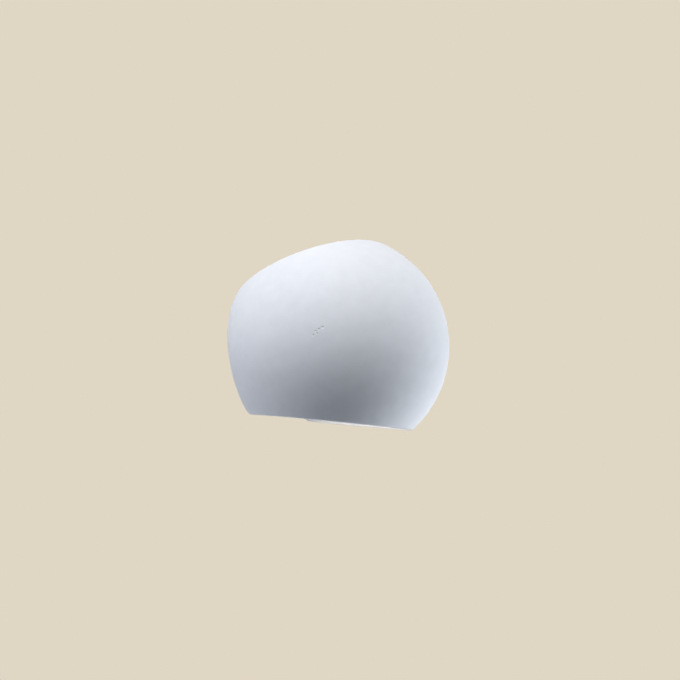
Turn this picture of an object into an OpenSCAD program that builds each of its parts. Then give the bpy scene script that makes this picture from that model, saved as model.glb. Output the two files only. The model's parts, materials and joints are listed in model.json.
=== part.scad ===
// Wall light for one small capsule lamp. Its cast shade is a ball cut off flat at
// the wall, the top and the bottom, so that light washes up and down the wall.
// The origin lies on the wall's face, midway between the two wall slots.
// +X is to the right, +Z is up and +Y points into the wall. Depths are distances
// from the wall into the room, so a depth d lies at y = -d. All sizes are in mm.

/* [Shade] */
// Outer radius of the ball that the shade is cut from
shade_r = 90; // [85:0.5:100]
// Wall thickness of the cast shade
shade_wall = 7; // [5:0.5:9]
// Depth of the ball's centre
centre_depth = 60; // [56:0.5:64]
// Distance from the ball's centre to each of the two rim planes
rim_height = 61; // [57:0.5:65]
// Tilt of the rim planes, which come closer to each other towards the wall
rim_tilt = 13.4; // [10:0.2:16]
// Radius of the rounded edges of the two rims
rim_round = 2; // [1:0.25:2.5]
// Gap between the back edge of the shade and the wall
back_gap = 0.5; // [0.3:0.1:2]

/* [Lugs inside the shade] */
// Height of the two lugs
lug_h = 24; // [18:1:30]
// Depth at which the lugs end
lug_depth = 34; // [28:1:38]
// Radius of the lugs' rounded edges
lug_round = 5; // [2:0.5:8]
// Gap between a lug and the bracket arm beside it
lug_gap = 1; // [0.5:0.25:1.5]
// How deep the grooves are cut into the lugs
groove_deep = 4; // [3:0.25:5]
// Clearance round a thumbscrew's tip in its groove
groove_clear = 0.3; // [0.2:0.05:0.5]

/* [Wall bracket] */
// Thickness of the bracket's sheet
sheet = 1.5; // [1.2:0.1:2]
// Width of the plate
plate_w = 84; // [80:1:88]
// Height of the plate
plate_h = 76; // [74:1:80]
// Corner radius of the plate
plate_corner = 8; // [4:0.5:12]
// Distance between the outer faces of the two arms
arm_span = 104; // [100:1:106]
// Height of the arms
arm_h = 20; // [16:1:24]
// Depth at which the arms end
arm_reach = 31; // [28:1:36]
// Radius inside the bend between the plate and an arm
bend_r = 1.5; // [1:0.25:2.5]
// Distance between the centres of the two wall slots
slot_spacing = 60; // [58:0.5:62]
// Width of a wall slot
slot_w = 5; // [4.2:0.1:5.5]
// Length of a wall slot from end to end
slot_len = 12; // [9:0.5:13]

/* [Thumbscrews] */
// Depth of the thumbscrews' axes
thumb_depth = 20; // [17:0.5:23]
// Diameter of the thumbscrews' thread
thumb_d = 5; // [4:0.5:6]
// Diameter of a thumbscrew's tip
tip_d = 3.8; // [3:0.2:4]
// Gap between a tip and the bottom of its groove
tip_gap = 0.3; // [0.2:0.05:0.5]
// Diameter of the knurled heads
thumb_head_d = 14; // [12:0.5:16]
// Thickness of the knurled heads
thumb_head_t = 6; // [5:0.5:8]
// Number of grooves in the knurl
knurl_count = 24; // [16:2:30]
// Thickness of the nuts pressed onto the arms
clinch_t = 2.5; // [2:0.25:3.5]
// Size across the flats of the nuts pressed onto the arms
clinch_flats = 9; // [8:0.5:10]
// Clearance between a screw and the hole that it turns in
screw_clear = 0.05; // [0.02:0.01:0.08]

/* [Cable bush] */
// Place of the bush to the right of the middle
bush_x = 4; // [3:0.5:5]
// Place of the bush below the middle
bush_down = 27; // [26:0.5:28]
// Diameter of the hole for the supply cable
bush_bore = 8; // [6:0.5:9]
// Wall thickness of the bush
bush_wall = 2; // [1.5:0.25:2.25]
// Width of the flange round the bush
bush_flange = 2; // [1.5:0.25:2.5]
// Thickness of the flange round the bush
bush_flange_t = 2.2; // [1.5:0.1:3]

/* [Lampholder bridge] */
// Thickness of the bridge's strip
bridge_t = 1.2; // [1:0.1:1.5]
// Clear height under the bridge
bridge_rise = 8; // [7:0.5:10]
// Width of the bridge
bridge_w = 30; // [28:1:34]
// Distance between the outer faces of the bridge's two legs
bridge_legs = 16; // [15:0.5:18]
// Length of each of the bridge's feet
foot_len = 8.5; // [7.5:0.5:9]
// Diameter of the small screws that hold the bridge, holder and terminal block
small_d = 3; // [2.5:0.25:3]

/* [Lampholder] */
// Width of the lampholder
holder_w = 30; // [28:1:34]
// Height of the lampholder
holder_h = 14; // [13:0.5:15]
// Length of the lampholder
holder_len = 16; // [14:0.5:20]
// Distance between the lampholder's two screws
holder_screws = 22; // [20:0.5:23]
// Distance between the lamp's two pins
pin_pitch = 9; // [8.5:0.25:9.5]

/* [Lamp] */
// Diameter of the wire of the lamp's pins
pin_wire = 0.8; // [0.6:0.1:1]
// Width of a pin's loop
pin_w = 3.2; // [2.8:0.1:3.4]
// Length of the pins
pin_len = 9; // [8:0.5:10]
// Diameter of the lamp's base
base_d = 16.4; // [15:0.2:18]
// Length of the lamp's base
base_len = 9; // [7:0.5:12]
// Diameter of the lamp's globe
globe_d = 17; // [16:0.5:19]
// Length of the lamp's globe
globe_len = 35; // [30:1:42]
// Wall thickness of the lamp's globe
globe_wall = 0.9; // [0.7:0.1:1.2]
// Gap between the lamp's base and the lampholder
lamp_gap = 0.3; // [0.2:0.05:0.5]

/* [Terminal block] */
// Place of the block's middle to the left of the bracket's middle
block_left = 22; // [21.5:0.5:23]
// Place of the block's middle below the bracket's middle
block_down = 27; // [26:0.5:28]
// Distance from one pole to the next
pole_pitch = 8; // [8:0.25:9]
// Size of the block along its wires
block_d = 16; // [15:0.5:17]
// Height of the block above the plate
block_t = 12; // [11:0.5:14]
// Outer diameter of the brass tubes in the block
tube_d = 4.8; // [4.4:0.1:5]
// Inner diameter of the brass tubes
tube_bore = 3; // [2.6:0.1:3.2]
// Diameter of the clamping screws
clamp_d = 2.5; // [2:0.1:2.6]

/* [Leads] */
// Diameter of the insulated leads
lead_d = 2.2; // [1.8:0.1:2.4]
// Diameter of the ferrules crimped onto the leads
ferrule_d = 2; // [1.4:0.1:2.2]
// Length of the sleeves where the leads leave the lampholder
sleeve_len = 3; // [2:0.5:4]

/* [Earth point] */
// Place of the earth screw to the right of the middle
earth_x = 28; // [26:0.5:30]
// Place of the earth screw below the middle
earth_down = 26; // [25:0.5:28]
// Diameter of the earth screw
earth_d = 4; // [3.5:0.5:4]
// Thickness of the toothed washer
washer_t = 0.6; // [0.5:0.1:1]
// Thickness of the ring terminal
ring_t = 0.8; // [0.6:0.1:1]

/* [Hidden] */
$fn = 96;

// How far a cutting shape runs past what it cuts
past = 1;
// Depth at which the screws end, just short of the wall
tip_short = 0.2;

// Inside of the shade
inner_r = shade_r - shade_wall;
// Faces of the arms and of the lugs beside them, from the middle
arm_out = arm_span / 2;
arm_in = arm_out - sheet;
lug_face = arm_out + lug_gap;
groove_floor = lug_face + groove_deep;
// How far the lugs' solids are sunk into the shade's wall
lug_sunk = 2;

// Thumbscrews, as distances from the middle
clinch_in = arm_in - clinch_t;
collar_gap = 0.6;
collar_t = 2;
collar_d = thumb_d + 4;
collar_out = clinch_in - collar_gap;
head_out = collar_out - collar_t;
head_in = head_out - thumb_head_t;
thread_end = arm_out + lug_gap / 2;
tip_end = groove_floor - tip_gap;
groove_r = tip_d / 2 + groove_clear;
thumb_hole_r = thumb_d / 2 + screw_clear;
thumb_bevel = 0.6;
knurl_r = 0.5;
knurl_out = 0.1;
coin_slot_w = 1.2;
coin_slot_deep = 1.6;

// Small screws, their heads and their nuts
small_r = small_d / 2;
small_head_r = small_d * 0.87;
small_head_t = 2;
small_nut_flats = 5.5;
small_nut_t = 2.4;
small_nut_past = 0.5;

// Bush
bush_r = bush_bore / 2 + bush_wall;
bush_clear = 0.05;

// Bridge and lampholder, as depths
bridge_under = sheet + bridge_rise;
bridge_top = bridge_under + bridge_t;
foot_screw_z = bridge_legs / 2 + foot_len / 2;
holder_back = bridge_top;
holder_face = holder_back + holder_len;
holder_corner = 3;
recess_deep = 4;
recess_r = small_head_r + 0.5;
pin_slot_deep = pin_len + 2.5;
pin_slot_w = pin_w + 1.4;
leaf_gap = 0.1;
leaf_t = 0.4;
leaf_w = pin_w + 0.4;
leaf_clear = 0.4;
pin_slot_h = pin_wire + 2 * (leaf_gap + leaf_t + leaf_clear);
pin_slot_floor = holder_face - pin_slot_deep;

// Lamp, as depths
lamp_back = holder_face + lamp_gap;
base_front = lamp_back + base_len;
spigot_t = 1.5;
spigot_clear = 0.15;
pin_end = lamp_back - pin_len;
base_taper_t = 2;
base_taper = 3;
core_short = 4;
core_len = globe_len - globe_d / 2 - core_short;
core_w = 6;
core_t = 1;
chip_count = 6;
chip_w = 3;
chip_len = 2;
chip_out = 0.6;

// Terminal block
pole_count = 3;
pole_gap = 1.2;
pole_w = pole_pitch - pole_gap;
web_in = 1;
tube_clear = 0.05;
tube_under = 2.6;
tube_short = 4;
tube_len = block_d - tube_short;
tube_depth = sheet + tube_under + tube_d / 2;
web_t = tube_under + tube_d + 0.2;
clamp_z = tube_len * 0.3;
clamp_gap = 0.1;
clamp_tip = tube_depth + ferrule_d / 2 + clamp_gap;
clamp_head_t = 1.2;
clamp_head_out = 0.4;
clamp_top = tube_depth + tube_d / 2 + 2;
clamp_slot_w = 0.6;
clamp_slot_deep = 0.7;
recess_clear = 0.2;
block_len = pole_w + (pole_count - 1) * pole_pitch;

// Leads
ferrule_collar_t = 3;
ferrule_len = 8;
sleeve_wall = 0.4;
sleeve_d = lead_d + 2 * sleeve_wall;
exit_step = 4;
live_exit = [-pin_pitch / 2, -(holder_back + exit_step), -holder_h / 2];
neutral_exit = [pin_pitch / 2, -(holder_back + 2 * exit_step), -holder_h / 2];
block_top_z = -block_down + block_d / 2;
lead_end_z = block_top_z + ferrule_collar_t;
// Straight stretch of a lead at its ends, and the unit of the pulls on its curve
lead_straight = 4;
lead_pull = 2;
lead_sides = 8;
lead_steps = 22;

// Earth point
earth_head_r = earth_d * 0.9;
earth_head_t = 2.4;
washer_r = earth_d / 2 + 1.8;
washer_teeth = 10;
tooth_deep = 0.8;
tooth_gap = 0.7;
ring_r = earth_d / 2 + 2;
ring_back = sheet + washer_t;
ring_front = ring_back + ring_t;
barrel_wall = 0.5;
barrel_r = lead_d / 2 + barrel_wall;
barrel_gap = 0.3;
barrel_len = 5.6;
barrel_from = earth_head_r + barrel_gap;
barrel_to = barrel_from + barrel_len;
tongue_len = 0.6;
earth_hole_clear = 0.15;

// Middle of pole number i of the terminal block, from left to right
function pole_x(i) = -block_left + (i - (pole_count - 1) / 2) * pole_pitch;
function unit(v) = v / norm(v);
// Point at t = 0 to 1 on the smooth curve that the points p pull towards themselves
function pulled(p, t) = len(p) == 1 ? p[0] :
    pulled([for (i = [0:len(p) - 2]) p[i] * (1 - t) + p[i + 1] * t], t);

// Shape drawn in X and Z, as thick as the depths d0 to d1 say
module slab(d0, d1) {
    translate([0, -d0, 0])
        rotate([90, 0, 0])
            linear_extrude(d1 - d0)
                children();
}

// Round bar from depth d0 to depth d1
module bar(r, d0, d1) {
    translate([0, -d0, 0])
        rotate([90, 0, 0])
            cylinder(r = r, h = d1 - d0);
}

// Rectangle with rounded corners
module rounded(w, h, r) {
    union() {
        square([w - 2 * r, h], center = true);
        square([w, h - 2 * r], center = true);
        for (x = [-1, 1])
            for (z = [-1, 1])
                translate([x * (w / 2 - r), z * (h / 2 - r)])
                    circle(r = r);
    }
}

// Slot with round ends along X
module slot(len, w) {
    union() {
        square([len - w, w], center = true);
        for (x = [-1, 1])
            translate([x * (len - w) / 2, 0])
                circle(d = w);
    }
}

// Screw with a domed cross-slot head, whose head sits at depth seat
module pan_screw(r, head_r, head_t, tip, seat) {
    difference() {
        union() {
            bar(r, tip, seat);
            bar(head_r, seat, seat + head_t * 0.6);
            translate([0, -seat - head_t * 0.6, 0])
                rotate([90, 0, 0])
                    cylinder(r1 = head_r, r2 = head_r * 0.7, h = head_t * 0.4);
        }
        for (a = [0, 90])
            rotate([0, a + 30, 0])
                slab(seat + head_t * 0.4, seat + head_t + past)
                    square([head_r * 1.2, head_r * 0.28], center = true);
    }
}

// Outline turned round a rim's axis to cut the ball off with rounded edges
module rim_outline() {
    round_z = rim_height - rim_round;
    outer = [sqrt(pow(shade_r - rim_round, 2) - pow(round_z, 2)), round_z];
    inner = [sqrt(pow(inner_r + rim_round, 2) - pow(round_z, 2)), round_z];
    above = rim_height + past;
    union() {
        translate([0, rim_height])
            square([shade_r, shade_r]);
        difference() {
            polygon([outer, [outer[0], above], [shade_r, above], unit(outer) * (shade_r + past)]);
            translate(outer)
                circle(r = rim_round);
        }
        difference() {
            polygon([inner, unit(inner) * (inner_r - past), [inner[0] - 4 * rim_round, above],
                [inner[0], above]]);
            translate(inner)
                circle(r = rim_round);
        }
    }
}

// One lug, before its groove is cut
module lug() {
    edge = lug_depth - lug_round;
    intersection() {
        translate([0, 0, -lug_h / 2])
            linear_extrude(lug_h)
                union() {
                    translate([lug_face + lug_round, -lug_depth])
                        square([shade_r, lug_depth - back_gap]);
                    translate([lug_face, -edge])
                        square([lug_round + past, edge - back_gap]);
                    translate([lug_face + lug_round, -edge])
                        circle(r = lug_round);
                }
        translate([0, -centre_depth, 0])
            sphere(r = inner_r + lug_sunk);
    }
}

// Groove from the back of a lug to its thumbscrew's tip
module lug_groove() {
    translate([lug_face - past, 0, 0])
        rotate([0, 90, 0])
            linear_extrude(groove_deep + past)
                union() {
                    translate([0, -thumb_depth])
                        circle(r = groove_r);
                    translate([-groove_r, -thumb_depth])
                        square([2 * groove_r, thumb_depth + past]);
                }
}

// Cross-section of the shade's wall, from a rounded rim at the top to the pole below
module wall_outline() {
    difference() {
        intersection() {
            difference() {
                circle(r = shade_r);
                circle(r = inner_r);
            }
            translate([0, -shade_r])
                square([shade_r, 2 * shade_r]);
        }
        rim_outline();
    }
}

// Upper half of the shade without its lug
module upper_half() {
    far = shade_r + past;
    difference() {
        translate([0, -centre_depth, 0])
            rotate([-rim_tilt, 0, 0])
                rotate_extrude()
                    wall_outline();
        translate([-far, -centre_depth - far, -2 * far])
            cube(2 * far);
        translate([-far, -back_gap, -far])
            cube(2 * far);
    }
}

module shade() {
    color("white")
        difference() {
            union() {
                upper_half();
                mirror([0, 0, 1])
                    upper_half();
                for (side = [0, 1])
                    mirror([side, 0, 0])
                        lug();
            }
            for (side = [0, 1])
                mirror([side, 0, 0])
                    lug_groove();
        }
}

// Plate with two tabs bent forward as arms
module wall_bracket() {
    color("silver")
        difference() {
            union() {
                slab(0, sheet)
                    union() {
                        rounded(plate_w, plate_h, plate_corner);
                        square([arm_span - 2 * (sheet + bend_r), arm_h], center = true);
                    }
                for (side = [0, 1])
                    mirror([side, 0, 0])
                        arm();
            }
            for (x = [-1, 1])
                translate([x * slot_spacing / 2, 0, 0])
                    slab(-past, sheet + past)
                        slot(slot_len, slot_w);
            translate([bush_x, 0, -bush_down])
                bar(bush_r, -past, sheet + past);
            for (z = [-1, 1])
                translate([0, 0, z * foot_screw_z])
                    bar(small_r, -past, sheet + past);
            for (x = [-1, 1])
                translate([x * pole_pitch / 2 - block_left, 0, -block_down])
                    bar(small_r, -past, sheet + past);
            translate([earth_x, 0, -earth_down])
                bar(earth_d / 2, -past, sheet + past);
            translate([-arm_span, -thumb_depth, 0])
                rotate([0, 90, 0])
                    cylinder(r = thumb_hole_r, h = 2 * arm_span);
        }
}

// Arm on the right, with its bend
module arm() {
    bend_out = sheet + bend_r;
    translate([0, 0, -arm_h / 2])
        linear_extrude(arm_h)
            union() {
                translate([arm_in, -arm_reach])
                    square([sheet, arm_reach - bend_out]);
                difference() {
                    translate([arm_out - bend_out, -bend_out])
                        intersection() {
                            circle(r = bend_out);
                            square(bend_out);
                        }
                    translate([arm_out - bend_out, -bend_out])
                        circle(r = bend_r);
                }
            }
}

// Nuts on the inner faces of the two arms
module clinch_nuts() {
    color("gainsboro")
        for (side = [0, 1])
            mirror([side, 0, 0])
                translate([clinch_in, -thumb_depth, 0])
                    rotate([0, 90, 0])
                        difference() {
                            cylinder(d = clinch_flats / cos(30), h = clinch_t, $fn = 6);
                            translate([0, 0, -past])
                                cylinder(r = thumb_hole_r, h = clinch_t + 2 * past);
                        }
}

// Thumbscrew on the right, whose tip stands in a lug's groove
module thumbscrew() {
    translate([0, -thumb_depth, 0])
        rotate([0, 90, 0])
            difference() {
                union() {
                    translate([0, 0, head_in])
                        cylinder(d1 = thumb_head_d - 2 * thumb_bevel, d2 = thumb_head_d, h = thumb_bevel);
                    translate([0, 0, head_in + thumb_bevel])
                        cylinder(d = thumb_head_d, h = thumb_head_t - thumb_bevel);
                    translate([0, 0, head_out])
                        cylinder(d = collar_d, h = collar_t);
                    translate([0, 0, collar_out])
                        cylinder(d = thumb_d, h = thread_end - collar_out);
                    translate([0, 0, thread_end])
                        cylinder(d = tip_d, h = tip_end - thread_end - thumb_bevel);
                    translate([0, 0, tip_end - thumb_bevel])
                        cylinder(d1 = tip_d, d2 = tip_d - 2 * thumb_bevel, h = thumb_bevel);
                }
                for (i = [0:knurl_count - 1])
                    rotate([0, 0, i * 360 / knurl_count])
                        translate([thumb_head_d / 2 + knurl_out, 0, head_in - past])
                            cylinder(r = knurl_r, h = thumb_head_t + past);
                translate([-coin_slot_w / 2, -thumb_head_d, head_in - past])
                    cube([coin_slot_w, 2 * thumb_head_d, past + coin_slot_deep]);
            }
}

module thumbscrew_right() {
    color("gainsboro")
        thumbscrew();
}

module thumbscrew_left() {
    color("gainsboro")
        mirror([1, 0, 0])
            thumbscrew();
}

// Bush pushed into the plate's cable hole from the front
module cable_bush() {
    color("dimgray")
        translate([bush_x, 0, -bush_down])
            difference() {
                union() {
                    bar(bush_r - bush_clear, tip_short, sheet + past);
                    bar(bush_r + bush_flange, sheet, sheet + bush_flange_t);
                }
                bar(bush_bore / 2, -past, sheet + bush_flange_t + past);
            }
}

// Raised strip that the lampholder is screwed to
module lampholder_bridge() {
    color("silver")
        difference() {
            translate([-bridge_w / 2, 0, 0])
                rotate([90, 0, 90])
                    linear_extrude(bridge_w)
                        union() {
                            translate([-bridge_top, -bridge_legs / 2])
                                square([bridge_t, bridge_legs]);
                            for (side = [0, 1])
                                mirror([0, side])
                                    union() {
                                        translate([-bridge_top, bridge_legs / 2 - bridge_t])
                                            square([bridge_top - sheet, bridge_t]);
                                        translate([-sheet - bridge_t, bridge_legs / 2 - bridge_t])
                                            square([bridge_t, foot_len + bridge_t]);
                                    }
                        }
            for (z = [-1, 1])
                translate([0, 0, z * foot_screw_z])
                    bar(small_r + screw_clear, 0, sheet + bridge_t + past);
            for (x = [-1, 1])
                translate([x * holder_screws / 2, 0, 0])
                    bar(small_r + screw_clear, bridge_under - past, bridge_top + past);
        }
}

module bridge_screws() {
    color("gainsboro")
        for (z = [-1, 1])
            translate([0, 0, z * foot_screw_z])
                pan_screw(small_r - screw_clear, small_head_r, small_head_t, tip_short,
                    sheet + bridge_t);
}

// Ceramic lampholder with two slots for the lamp's pins
module lampholder_body() {
    color("ivory")
        difference() {
            slab(holder_back, holder_face)
                rounded(holder_w, holder_h, holder_corner);
            for (x = [-1, 1])
                translate([x * holder_screws / 2, 0, 0]) {
                    bar(small_r + screw_clear, holder_back - past, holder_face + past);
                    bar(recess_r, holder_face - recess_deep, holder_face + past);
                }
            for (x = [-1, 1])
                translate([x * pin_pitch / 2, 0, 0])
                    slab(pin_slot_floor, holder_face + past)
                        square([pin_slot_w, pin_slot_h], center = true);
        }
}

// Two spring clips, each with a leaf above and a leaf below its pin
module lampholder_contacts() {
    leaf_in = pin_wire / 2 + leaf_gap;
    color("goldenrod")
        for (x = [-1, 1])
            translate([x * pin_pitch / 2, 0, 0])
                union() {
                    slab(pin_slot_floor, pin_slot_floor + leaf_t)
                        square([leaf_w, 2 * (leaf_in + leaf_t)], center = true);
                    for (z = [-1, 1])
                        translate([0, 0, z * (leaf_in + leaf_t / 2)])
                            slab(pin_slot_floor, holder_face - past)
                                square([leaf_w, leaf_t], center = true);
                }
}

module lampholder_screws() {
    color("gainsboro")
        for (x = [-1, 1])
            translate([x * holder_screws / 2, 0, 0])
                pan_screw(small_r - screw_clear, small_head_r, small_head_t,
                    bridge_under - small_nut_t - small_nut_past, holder_face - recess_deep);
}

module lampholder_nuts() {
    color("gainsboro")
        for (x = [-1, 1])
            translate([x * holder_screws / 2, -bridge_under, 0])
                rotate([-90, 0, 0])
                    difference() {
                        cylinder(d = small_nut_flats / cos(30), h = small_nut_t, $fn = 6);
                        translate([0, 0, -past])
                            cylinder(r = small_r, h = small_nut_t + 2 * past);
                    }
}

// Frosted globe, a thin shell that is open where it sits on the lamp's base
module lamp_globe() {
    straight = globe_len - globe_d / 2;
    color([1, 0.98, 0.92])
        translate([0, -base_front + spigot_t, 0])
            rotate([90, 0, 0])
                rotate_extrude()
                    difference() {
                        intersection() {
                            union() {
                                square([globe_d / 2, straight]);
                                translate([0, straight])
                                    circle(d = globe_d);
                            }
                            square([globe_d, globe_len]);
                        }
                        translate([0, -past])
                            square([globe_d / 2 - globe_wall, straight + past]);
                        translate([0, straight])
                            circle(r = globe_d / 2 - globe_wall);
                    }
}

module lamp_base() {
    ledge = base_front - spigot_t;
    color("whitesmoke")
        union() {
            translate([0, -lamp_back, 0])
                rotate([90, 0, 0])
                    cylinder(d1 = base_d - base_taper, d2 = base_d, h = base_taper_t);
            bar(base_d / 2, lamp_back + base_taper_t, ledge);
            bar(globe_d / 2 - globe_wall - spigot_clear, ledge, base_front);
        }
}

// Two loops of stiff wire
module lamp_pins() {
    loop_r = (pin_w - pin_wire) / 2;
    bend_depth = pin_end + pin_w / 2;
    color("silver")
        for (x = [-1, 1])
            translate([x * pin_pitch / 2, 0, 0])
                union() {
                    for (s = [-1, 1])
                        translate([s * loop_r, 0, 0])
                            bar(pin_wire / 2, bend_depth, lamp_back);
                    translate([0, -bend_depth, 0])
                        rotate_extrude(angle = 180, $fn = 48)
                            translate([loop_r, 0])
                                circle(d = pin_wire, $fn = 24);
                }
}

// Strip with light-emitting chips on both faces, inside the globe
module lamp_core() {
    chip_step = (core_len - chip_len) / chip_count;
    first = base_front + chip_len;
    color("lightyellow")
        union() {
            slab(base_front, base_front + core_len)
                square([core_w, core_t], center = true);
            for (i = [0:chip_count - 1])
                slab(first + i * chip_step, first + i * chip_step + chip_len)
                    square([chip_w, core_t + 2 * chip_out], center = true);
        }
}

// Three poles side by side, joined by lower webs with the mounting holes
module terminal_block() {
    color("whitesmoke")
        translate([0, 0, -block_down])
            difference() {
                union() {
                    translate([-block_left, 0, 0])
                        slab(sheet, sheet + web_t)
                            square([block_len - 2 * web_in, block_d - 3 * web_in], center = true);
                    for (i = [0:pole_count - 1])
                        translate([pole_x(i), 0, 0])
                            slab(sheet, sheet + block_t)
                                rounded(pole_w, block_d, web_in);
                }
                for (i = [0:pole_count - 1])
                    translate([pole_x(i), 0, 0]) {
                        translate([0, -tube_depth, -block_d])
                            cylinder(r = tube_d / 2 + tube_clear, h = 2 * block_d);
                        for (z = [-1, 1])
                            translate([0, 0, z * clamp_z])
                                bar(clamp_d / 2 + clamp_head_out + recess_clear, tube_depth,
                                    sheet + block_t + past);
                    }
                for (x = [-1, 1])
                    translate([x * pole_pitch / 2 - block_left, 0, 0]) {
                        bar(small_r + screw_clear, 0, sheet + block_t);
                        bar(small_head_r + recess_clear, sheet + web_t, sheet + block_t + past);
                    }
            }
}

module terminal_tubes() {
    color("goldenrod")
        for (i = [0:pole_count - 1])
            translate([pole_x(i), 0, -block_down])
                difference() {
                    translate([0, -tube_depth, -tube_len / 2])
                        cylinder(d = tube_d, h = tube_len);
                    translate([0, -tube_depth, -tube_len])
                        cylinder(d = tube_bore, h = 2 * tube_len);
                    for (z = [-1, 1])
                        translate([0, 0, z * clamp_z])
                            bar(clamp_d / 2, tube_depth, tube_depth + tube_d);
                }
}

module terminal_screws() {
    color("gainsboro")
        for (i = [0:pole_count - 1])
            for (z = [-1, 1])
                translate([pole_x(i), 0, z * clamp_z - block_down])
                    difference() {
                        union() {
                            bar(clamp_d / 2 - screw_clear, clamp_tip, clamp_top);
                            bar(clamp_d / 2 + clamp_head_out, clamp_top,
                                clamp_top + clamp_head_t);
                        }
                        slab(clamp_top + clamp_head_t - clamp_slot_deep,
                            clamp_top + clamp_head_t + past)
                            square([2 * clamp_d, clamp_slot_w], center = true);
                    }
}

module block_screws() {
    color("gainsboro")
        for (x = [-1, 1])
            translate([x * pole_pitch / 2 - block_left, 0, -block_down])
                pan_screw(small_r - screw_clear, small_head_r, small_head_t, tip_short,
                    sheet + web_t);
}

// Round lead along a smooth route from the first of the points p to the last
module lead(p) {
    last = len(p) - 1;
    route = concat([p[0]], [for (i = [1:lead_steps]) pulled(p, i / (lead_steps + 1))],
        [p[last]]);
    count = len(route);
    ends = [unit(p[1] - p[0]), unit(p[last] - p[last - 1])];
    rings = [for (i = [0:count - 1])
        let (along = i == 0 ? ends[0] : i == count - 1 ? ends[1] :
                unit(route[i + 1] - route[i - 1]),
            across = unit(cross(along, [0, 1, 0])),
            up = cross(along, across))
        for (k = [0:lead_sides - 1])
            route[i] + (across * cos(360 * k / lead_sides)
                + up * sin(360 * k / lead_sides)) * lead_d / 2];
    walls = [for (i = [0:count - 2]) for (k = [0:lead_sides - 1])
        let (next = (k + 1) % lead_sides, a = i * lead_sides, b = a + lead_sides)
        [a + k, a + next, b + next, b + k]];
    start = [for (k = [lead_sides - 1:-1:0]) k];
    finish = [for (k = [0:lead_sides - 1]) (count - 1) * lead_sides + k];
    polyhedron(points = rings, faces = concat([start], walls, [finish]));
}

// Where a lead meets the ferrule of pole number i
function ferrule_top(i) = [pole_x(i), -tube_depth, lead_end_z];

module live_lead() {
    from = live_exit - [0, 0, sleeve_len];
    to = ferrule_top(1);
    color("sienna")
        lead([from, from - [0, 0, lead_straight], from + lead_pull * [-3, 0, -2],
            to + lead_pull * [1, -2.5, 3], to + [0, 0, lead_straight], to]);
}

module neutral_lead() {
    from = neutral_exit - [0, 0, sleeve_len];
    to = ferrule_top(0);
    color("steelblue")
        lead([from, from - [0, 0, lead_straight], from + lead_pull * [-5, -1, -2.5],
            to + lead_pull * [4, -7, 2.5], to + lead_pull * [0, -0.5, 3.5],
            to + [0, 0, lead_straight], to]);
}

// Lead from the block's third pole to the ring at the earth screw
module earth_lead() {
    from = ferrule_top(2);
    to = [earth_x, -(ring_back + barrel_r), -earth_down + barrel_to];
    color("yellowgreen")
        lead([from, from + [0, 0, lead_straight], from + lead_pull * [2, -1.5, 3.5],
            [0, from[1], from[2]] + lead_pull * [0, -1.5, 3],
            to + lead_pull * [-3, -2, 3.5], to + [0, 0, lead_straight], to]);
}

// Sleeves that lead the wires out of the lampholder's underside
module lead_sleeves() {
    color("white")
        for (exit = [live_exit, neutral_exit])
            translate(exit - [0, 0, sleeve_len])
                cylinder(d = sleeve_d, h = sleeve_len);
}

// Crimped ends of the leads, clamped in the brass tubes
module lead_ferrules() {
    color("silver")
        for (i = [0:pole_count - 1])
            translate([pole_x(i), -tube_depth, 0])
                union() {
                    translate([0, 0, block_top_z])
                        cylinder(d = sleeve_d, h = ferrule_collar_t);
                    translate([0, 0, block_top_z - ferrule_len])
                        cylinder(d = ferrule_d, h = ferrule_len + past);
                }
}

module earth_ring() {
    color("silver")
        translate([earth_x, 0, -earth_down])
            difference() {
                union() {
                    bar(ring_r, ring_back, ring_front);
                    translate([0, -ring_back - barrel_r, barrel_from])
                        cylinder(r = barrel_r, h = barrel_to - barrel_from);
                    slab(ring_back, ring_front)
                        translate([-barrel_r, 0])
                            square([2 * barrel_r, barrel_from + tongue_len]);
                }
                bar(earth_d / 2 + earth_hole_clear, 0, ring_front + past);
            }
}

// Washer with teeth that bite into the plate
module earth_washer() {
    color("gainsboro")
        translate([earth_x, 0, -earth_down])
            slab(sheet, ring_back)
                difference() {
                    circle(r = washer_r);
                    circle(r = earth_d / 2 + earth_hole_clear);
                    for (i = [0:washer_teeth - 1])
                        rotate(i * 360 / washer_teeth)
                            translate([washer_r, 0])
                                square([2 * tooth_deep, tooth_gap], center = true);
                }
}

module earth_screw() {
    color("gainsboro")
        translate([earth_x, 0, -earth_down])
            pan_screw(earth_d / 2 - screw_clear, earth_head_r, earth_head_t, tip_short,
                ring_front);
}

shade();
wall_bracket();
clinch_nuts();
thumbscrew_left();
thumbscrew_right();
cable_bush();
lampholder_bridge();
bridge_screws();
lampholder_body();
lampholder_contacts();
lampholder_screws();
lampholder_nuts();
lamp_globe();
lamp_base();
lamp_pins();
lamp_core();
terminal_block();
terminal_tubes();
terminal_screws();
block_screws();
live_lead();
neutral_lead();
earth_lead();
lead_sleeves();
lead_ferrules();
earth_ring();
earth_washer();
earth_screw();
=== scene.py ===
# %% [markdown]
# # A cast wall light that shines up and down
#
# The real object is a hollow ball of white casting compound, cut off flat at its
# back, at its top and at its bottom. Inside it a steel bracket carries a small
# capsule lamp and its wiring. The bracket, the screws and the joints are already
# fixed by the construction model, which is loaded first. This lesson dresses it:
# it rebuilds the shade with soft edges, makes the knurled screws and the wiring
# with Geometry Nodes, and gives every piece a procedural finish.

import json
import math

import bmesh
import bpy
from mathutils import Matrix, Vector


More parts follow.
